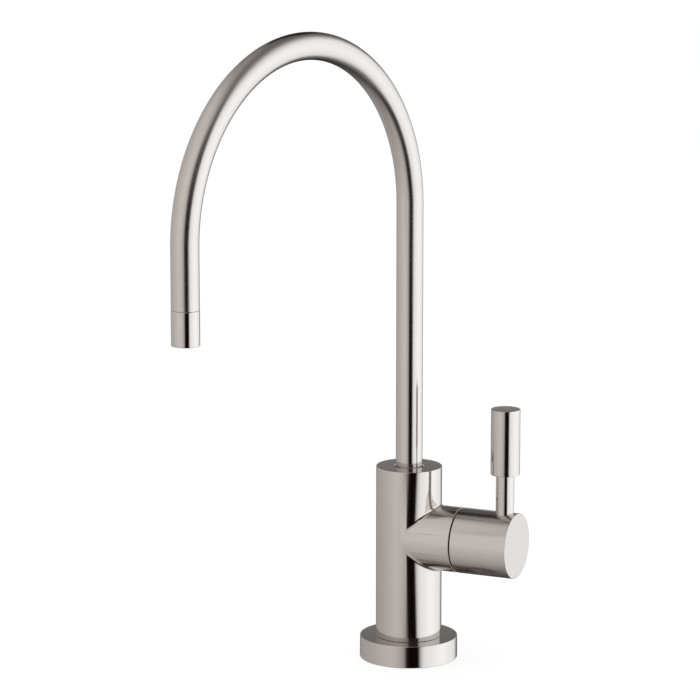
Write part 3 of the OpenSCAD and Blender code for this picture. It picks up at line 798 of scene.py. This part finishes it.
# %% A finish with a grain
def grained(name, colour, marked_colour, roughness, spread, grain_mm, metallic=0.0, ior=None):
    """A surface with a grain of this length, width and height in millimetres."""
    made, tree, shader = new_material(name)
    where = add(tree, "TexCoord")["Object"]
    sized = add(tree, "Mapping", {"Vector": where, "Scale": [1 / (size * MM) for size in grain_mm]})
    grain = add(tree, "TexNoise", {"Vector": sized[0], "Scale": 1.0, "Detail": 4.0})["Fac"]
    shade = add(tree, "Mix", {0: grain, 6: linear(marked_colour), 7: linear(colour)}, data_type="RGBA")
    gloss = add(tree, "MapRange", {
        "Value": grain, "From Min": NOISE_LOW, "From Max": NOISE_HIGH,
        "To Min": roughness - spread, "To Max": roughness + spread})
    tree.links.new(shade[2], shader.inputs["Base Color"])
    tree.links.new(gloss[0], shader.inputs["Roughness"])
    shader.inputs["Metallic"].default_value = metallic
    if ior:
        shader.inputs["IOR"].default_value = ior
    return made


FINISHES = {
    # Rolled stainless steel: a cool grey metal with long soft streaks
    "stainless_steel": grained("rolled_stainless_steel", "#c4c5c6", "#aeb0b2", 0.28, 0.06, (8, 0.4, 0.4),
                               metallic=1.0),
    # Nitrile rubber: nearly black, matt and faintly mottled
    "black_rubber": grained("nitrile_rubber", "#232325", "#18181a", 0.6, 0.1, (0.6, 0.6, 0.6), ior=1.52),
    # Black acetal: a dark plastic with a waxy gloss
    "black_acetal": grained("black_acetal", "#1d1c1b", "#151413", 0.4, 0.06, (3, 3, 1.5), ior=1.48),
    # White acetal: the same waxy gloss on milky white
    "white_acetal": grained("white_acetal", "#e9e7e1", "#dcd9d1", 0.4, 0.06, (3, 3, 1.5), ior=1.48),
    # Lapped alumina: creamy white and glossy, like glazed porcelain
    "ceramic": grained("lapped_alumina", "#f4f1ea", "#e9e5db", 0.2, 0.05, (0.5, 0.5, 0.5), ior=1.77),
}
print("grained finishes:", ", ".join(FINISHES))

# %% [markdown]
# Brass is left as the lathe left it, so it takes the lines of the turned metal, once round the
# upright pieces and once round those that lie in the barrel. The solids inside the tap
# keep their own meshes. Each slot of the record names a finish, so a loop can hand them out.

# %% Finish the hardware and the inner solids
BRASS, BRASS_LOW = "#d2b06a", "#b8924c"
BARREL_BRASS = ("cartridge_body", "spindle")
# Turned brass: warm yellow metal, with the tool's lines round the upright pieces
upright_brass = turned_metal("turned_brass_upright", 0.26, high=BRASS, low=BRASS_LOW)
# Turned brass: the same lines round the pieces that lie in the barrel
barrel_brass = turned_metal("turned_brass_barrel", 0.26, barrel_turn, lever_at, high=BRASS, low=BRASS_LOW)
give(gasket, FINISHES["black_rubber"])
give(deck_washer, FINISHES["black_rubber"])
give(clamp_washer, FINISHES["stainless_steel"])
give(shank, upright_brass)
give(nut, upright_brass)
slots = {part["node"]: part["material_slot"] for part in frame["record"]["subparts"]}
shown = [node for node, solid in frame["nodes"].items() if not solid.hide_render]
for node in shown:
    give(frame["nodes"][node],
         FINISHES.get(slots[node], barrel_brass if node in BARREL_BRASS else upright_brass))
print("solids with a finish of their own:", len(shown))

# %% [markdown]
# ## The studio
#
# Metal shows its surroundings, so the light is a tent of pale panels round the tap: a softly
# lit scrim on the left, a brighter softbox on the right, and between them the dark gap in
# which the camera stands. The gap is what draws the dark line down every upright tube. Area
# lamps could make the panels, but lamps end in hard edges. A sphere that glows differently
# in each direction has soft ones, and only what is mirrored sees it.

# %% Hang the tent
CAMERA_AZIMUTH = math.atan2(CAMERA_AT.y, CAMERA_AT.x)
TENT_RADIUS = 1.4
TENT_CENTRE = 0.1


def show_in_mirrors_only(made):
    """Hides a stage object from everything but reflections."""
    for ray in ("camera", "diffuse", "shadow", "transmission"):
        setattr(made, "visible_" + ray, False)


tent_mesh = bmesh.new()
bmesh.ops.create_uvsphere(tent_mesh, u_segments=64, v_segments=32, radius=TENT_RADIUS)
tent = to_object(tent_mesh, "studio_tent")
tent.rotation_euler.z = CAMERA_AZIMUTH
tent.location.z = TENT_CENTRE
show_in_mirrors_only(tent)
print("tent radius in metres:", TENT_RADIUS)

# %% [markdown]
# Each panel is drawn by directions: the bearing from the camera, positive to its right, and the
# height above the horizon, both in degrees. The tent is turned towards the camera, so both follow
# from Object coordinates.

# %% Bearing and height in the tent
def bare_material(name):
    """A material without any nodes yet."""
    made = bpy.data.materials.new(name)
    made.use_nodes = True
    made.node_tree.nodes.clear()
    return made, made.node_tree


tent_material, tree = bare_material("tent_cloth")
where = add(tree, "TexCoord")["Object"]
aim = add(tree, "VectorMath", {0: where}, operation="NORMALIZE")[0]
axes = add(tree, "SeparateXYZ", {0: aim})
turned = add(tree, "Math", {0: axes["Y"], 1: axes["X"]}, operation="ARCTAN2")[0]
bearing = add(tree, "Math", {0: turned}, operation="DEGREES")[0]
raised = add(tree, "Math", {0: axes["Z"]}, operation="ARCSINE")[0]
height = add(tree, "Math", {0: raised}, operation="DEGREES")[0]
by_height = add(tree, "MapRange", {"Value": height, "From Min": -90, "From Max": 90})[0]
give(tent, tent_material)
print("camera's azimuth in degrees:", round(math.degrees(CAMERA_AZIMUTH), 1))

# %% [markdown]
# ### The scrim
#
# The scrim is a wide cloth on the left that glows softly and fades at both ends. Its right edge
# leans, so the dark stripe changes its width from the foot of the tap to its top. Two ramps, one
# over the bearing and one over the height, are multiplied. A third moves the edge.

# %% The scrim on the left
# Bearing and the scrim's light there
SCRIM_ROUND = [
    (-180, 0.03), (-170, 0.14), (-160, 0.35), (-148, 0.54), (-122, 0.64), (-98, 0.7), (-78, 0.77),
    (-55, 0.87), (-42, 0.89), (-35, 0.86), (-25, 0.77), (-18, 0.67), (-13.5, 0.58), (-10, 0.42),
    (-7.5, 0.17), (-5.5, 0.04), (-2.5, 0.01), (3, 0.0), (165, 0.0), (180, 0.02),
]
# Height and the share of the scrim's light that is left there
SCRIM_UP = [
    (-90, 0.25), (-80, 0.36), (-70, 0.5), (-60, 0.62), (-48, 0.7), (-38, 0.78), (-28, 0.81), (-20, 0.87),
    (-16, 0.89), (-13, 0.94), (-8, 1.0), (30, 1.02), (45, 1.0), (60, 0.92), (90, 0.6),
]
# Height and by how many degrees the scrim's right edge stands further to the right there
SCRIM_LEAN = [(-90, 10), (-45, 7), (-30, 3), (-16, -1.5), (-12.5, 2.3), (30, 6), (60, 12), (90, 12)]
scrim_lean = add(tree, "ValToRGB", {"Fac": by_height}, SCRIM_LEAN)["Color"]
shifted = add(tree, "Math", {0: bearing, 1: scrim_lean}, operation="SUBTRACT")[0]
by_bearing = add(tree, "MapRange", {"Value": shifted, "From Min": -180, "From Max": 180})[0]
scrim_round = add(tree, "ValToRGB", {"Fac": by_bearing}, SCRIM_ROUND)["Color"]
scrim_up = add(tree, "ValToRGB", {"Fac": by_height}, SCRIM_UP)["Color"]
scrim_side = add(tree, "Math", {0: scrim_round, 1: scrim_up}, operation="MULTIPLY")[0]
print("stops round the scrim:", len(SCRIM_ROUND))

# %% [markdown]
# Overhead the scrim leans in over the tap and ends at an edge that runs askew, which gives the top of
# the arch its gradient. Bearings crowd together up there, so this part is drawn by the distance
# from that edge. Behind the tap a pale wall shows just above the horizon.

# %% The scrim overhead and the wall behind
EDGE_SKEW = 0.5
OVER_REACH = 1.2
# How far a direction points up or back where that light starts and where it is full
OVER_START, OVER_FULL = 0.55, 0.85
BACK_START, BACK_FULL = -0.82, -0.97
# Distance from the scrim's upper edge and the light there
SCRIM_OVER = [
    (-OVER_REACH, 0.85), (-0.83, 0.84), (-0.57, 0.8), (-0.43, 0.74), (-0.32, 0.62), (-0.2, 0.46),
    (-0.08, 0.34), (0.0, 0.24), (0.1, 0.18), (0.3, 0.1), (OVER_REACH, 0.02),
]
# Height and the wall's light there
WALL_UP = [
    (-90, 0.0), (-20, 0.0), (-4, 0.22), (3, 0.46), (7.5, 0.36), (10, 0.3), (12.5, 0.25), (15, 0.15),
    (22, 0.1), (30, 0.08), (38, 0.0), (90, 0.0),
]
side = add(tree, "Math", {0: axes["X"], 1: -EDGE_SKEW, 2: axes["Y"]}, operation="MULTIPLY_ADD")[0]
by_side = add(tree, "MapRange", {"Value": side, "From Min": -OVER_REACH, "From Max": OVER_REACH})[0]
scrim_over = add(tree, "ValToRGB", {"Fac": by_side}, SCRIM_OVER)["Color"]
overhead = add(tree, "MapRange", {"Value": axes["Z"], "From Min": OVER_START, "From Max": OVER_FULL})[0]
scrim = add(tree, "Mix", {0: overhead, 2: scrim_side, 3: scrim_over})[0]
wall_up = add(tree, "ValToRGB", {"Fac": by_height}, WALL_UP)["Color"]
behind = add(tree, "MapRange", {"Value": axes["X"], "From Min": BACK_START, "From Max": BACK_FULL})[0]
scrim_and_wall = add(tree, "Math", {0: behind, 1: wall_up, 2: scrim}, operation="MULTIPLY_ADD")[0]
print("stops over the scrim's edge:", len(SCRIM_OVER), "and up the wall:", len(WALL_UP))

# %% [markdown]
# ### The softbox
#
# The softbox on the right is brightest in its middle and falls off all round, so its light is drawn
# by the angle from its middle. Its left edge is a sharper fall that leans like the scrim's, and
# both edges together give the dark stripe its shape.

# %% The softbox on the right
BOX_BEARING, BOX_HEIGHT = math.radians(85), math.radians(-4)
# Angle from the softbox's middle and its light there
BOX_ROUND = [
    (0, 1.62), (14, 1.6), (20, 1.55), (30, 1.45), (37, 1.41), (44, 1.36), (50, 1.27), (55, 1.06),
    (59, 0.86), (63, 0.66), (68, 0.38), (72, 0.2), (77, 0.08), (84, 0.0), (180, 0.0),
]
# Height and the share of the softbox's light that is left there
BOX_UP = [
    (-90, 0.1), (-75, 0.2), (-66, 0.4), (-58, 0.66), (-50, 0.83), (-41, 0.96), (-30, 1.0), (26, 1.0),
    (38, 0.88), (46, 0.8), (90, 0.8),
]
# Height and by how many degrees the softbox's left edge stands further to the right there
BOX_LEAN = [(-90, 32), (-50, 26), (-44, 19), (-30, 6), (-16, 0), (-10, 1.8), (30, 13), (60, 20), (90, 20)]
# Bearing and the share of the softbox's light that its left edge leaves
BOX_EDGE = [(0, 0.0), (21.2, 0.0), (27.6, 0.82), (33, 0.96), (41, 1.0), (180, 1.0)]
box_aim = (math.cos(BOX_HEIGHT) * math.cos(BOX_BEARING), math.cos(BOX_HEIGHT) * math.sin(BOX_BEARING),
           math.sin(BOX_HEIGHT))
near = add(tree, "VectorMath", {0: aim, 1: box_aim}, operation="DOT_PRODUCT")["Value"]
apart = add(tree, "Math", {0: near}, operation="ARCCOSINE")[0]
apart_degrees = add(tree, "Math", {0: apart}, operation="DEGREES")[0]
by_apart = add(tree, "MapRange", {"Value": apart_degrees, "From Min": 0, "From Max": 180})[0]
box_round = add(tree, "ValToRGB", {"Fac": by_apart}, BOX_ROUND)["Color"]
box_up = add(tree, "ValToRGB", {"Fac": by_height}, BOX_UP)["Color"]
glow = add(tree, "Math", {0: box_round, 1: box_up}, operation="MULTIPLY")[0]
box_lean = add(tree, "ValToRGB", {"Fac": by_height}, BOX_LEAN)["Color"]
leaned = add(tree, "Math", {0: bearing, 1: box_lean}, operation="SUBTRACT")[0]
by_edge = add(tree, "MapRange", {"Value": leaned, "From Min": 0, "From Max": 180})[0]
box_edge = add(tree, "ValToRGB", {"Fac": by_edge}, BOX_EDGE)["Color"]
softbox = add(tree, "Math", {0: glow, 1: box_edge}, operation="MULTIPLY")[0]
print("stops round the softbox:", len(BOX_ROUND))

# %% [markdown]
# ### The room
#
# A little light comes from the room itself, but none from where the camera stands, and more from
# the left. It fills only where the panels are darker, so the brighter of the two counts. Even
# the darkest cloth is never quite black, and its faint warm tone keeps the stripe from looking like
# a hole.

# %% Put the tent's light together
# The colours of both lights and of unlit cloth
SCRIM = linear("#fefdfc")[:3]
SOFTBOX = linear("#f5fbff")[:3]
DARK_CLOTH = linear("#140c0a")
# Height and the room's light there
ROOM_UP = [
    (-90, 0.08), (-40, 0.06), (-26, 0.0), (0, 0.0), (10, 0.02), (30, 0.1), (50, 0.15), (70, 0.2), (90, 0.25),
]
# To the left the room is brighter by this factor, from where it starts to where it is full
ROOM_LEFT = 2.2
LEFT_START, LEFT_FULL = 0.05, -0.25
room_up = add(tree, "ValToRGB", {"Fac": by_height}, ROOM_UP)["Color"]
from_left = add(tree, "MapRange", {
    "Value": axes["Y"], "From Min": LEFT_START, "From Max": LEFT_FULL, "To Min": 1, "To Max": ROOM_LEFT})[0]
room = add(tree, "Math", {0: room_up, 1: from_left}, operation="MULTIPLY")[0]
pale = add(tree, "Math", {0: scrim_and_wall, 1: room}, operation="MAXIMUM")[0]
left_light = add(tree, "VectorMath", {0: SCRIM, "Scale": pale}, operation="SCALE")[0]
right_light = add(tree, "VectorMath", {0: SOFTBOX, "Scale": softbox}, operation="SCALE")[0]
both = add(tree, "VectorMath", {0: left_light, 1: right_light}, operation="ADD")[0]
tent_light = add(tree, "VectorMath", {0: both, 1: DARK_CLOTH[:3]}, operation="ADD")[0]
tent_glow = add(tree, "Emission", {"Color": tent_light})[0]
add(tree, "OutputMaterial", {"Surface": tent_glow})
print("nodes in the tent's cloth:", len(tree.nodes))

# %% [markdown]
# ### The black card
#
# Behind the tap hangs a black card, which a photographer calls a flag. It stands where the barrel's
# upper side mirrors it, and draws the dark line there that makes the barrel look round. A dark patch in
# the tent would be too far away: a card close by is mirrored by the barrel and hardly by the rest.

# %% Hang the black card
CARD_AT = Vector((-0.18, 0.187, 0.41))
CARD_SIZE = 0.15
hub_middle = lever_at + lever_axis * (hub_start + hub_end) / 2
facing = (hub_middle - CARD_AT).to_track_quat("Z", "Y").to_matrix().to_4x4()
card_mesh = bmesh.new()
bmesh.ops.create_grid(card_mesh, x_segments=1, y_segments=1, size=CARD_SIZE / 2,
                      matrix=Matrix.Translation(CARD_AT) @ facing)
card = to_object(card_mesh, "black_card")
card_material, tree = bare_material("black_card")
card_glow = add(tree, "Emission", {"Color": DARK_CLOTH})[0]
add(tree, "OutputMaterial", {"Surface": card_glow})
give(card, card_material)
show_in_mirrors_only(card)
print("black card, metres from the barrel:", round((lever_at - CARD_AT).length, 2))

# %% [markdown]
# ## Floor, world and lamp
#
# The tap stands on a white sweep of paper, lit until it burns out to white, with a faint soft shadow
# left. A shadow catcher would need a second picture behind it. To the camera this floor is mostly
# a white glow, and to all other light it is matt paper, so it stays white and keeps the shadow. From
# below it lets the view through, so that the underside and the shank can be looked at.

# %% Lay the floor
FLOOR_SIZE = 12
FLOOR_Z = -0.2 * MM
FLOOR_GLOW = 1.03
GLOW_SHARE = 0.8
floor_mesh = bmesh.new()
bmesh.ops.create_grid(floor_mesh, x_segments=1, y_segments=1, size=FLOOR_SIZE / 2,
                      matrix=Matrix.Translation((0, 0, FLOOR_Z)))
floor = to_object(floor_mesh, "floor")
floor_material, tree = bare_material("white_paper")
camera_ray = add(tree, "LightPath")["Is Camera Ray"]
share = add(tree, "Math", {0: camera_ray, 1: GLOW_SHARE}, operation="MULTIPLY")[0]
matt = add(tree, "BsdfDiffuse", {"Color": linear("#fbfbfb")})[0]
bright = add(tree, "Emission", {"Strength": FLOOR_GLOW})[0]
paper = add(tree, "MixShader", {0: share, 1: matt, 2: bright})[0]
underside = add(tree, "NewGeometry")["Backfacing"]
clear = add(tree, "BsdfTransparent")[0]
one_sided = add(tree, "MixShader", {0: underside, 1: paper, 2: clear})[0]
add(tree, "OutputMaterial", {"Surface": one_sided})
give(floor, floor_material)
floor.visible_glossy = False
print("floor in metres:", FLOOR_SIZE)

# %% [markdown]
# The world is white, at a plain level, and so is the background. One broad lamp overhead gives the
# floor its shadow. A small lamp would draw it with a hard edge. The metal doesn't mirror
# the lamp, because the tent already holds all that it should show.

# %% Light the world and the lamp
PLAIN_LIGHT = 1.0
LAMP_AT = Vector((0.3, -0.3, 2.0))
LAMP_TARGET = Vector((0, 0, 0.1))
LAMP_SIZE = 1.6
LAMP_WATTS = 4
world = bpy.data.worlds.new("white_world")
world.use_nodes = True
world.node_tree.nodes.clear()
white = add(world.node_tree, "Background", {"Color": (1, 1, 1, 1), "Strength": PLAIN_LIGHT})[0]
add(world.node_tree, "OutputWorld", {"Surface": white})
bpy.context.scene.world = world
lamp = bpy.data.objects.new("overhead_lamp", bpy.data.lights.new("overhead_lamp", "AREA"))
lamp.data.shape = "DISK"
lamp.data.size = LAMP_SIZE
lamp.data.energy = LAMP_WATTS
lamp.location = LAMP_AT
lamp.rotation_euler = (LAMP_TARGET - LAMP_AT).to_track_quat("-Z", "Y").to_euler()
lamp.visible_glossy = False
bpy.context.scene.collection.objects.link(lamp)
bpy.context.scene.view_settings.view_transform = "Standard"
print("lamp in watts:", LAMP_WATTS)
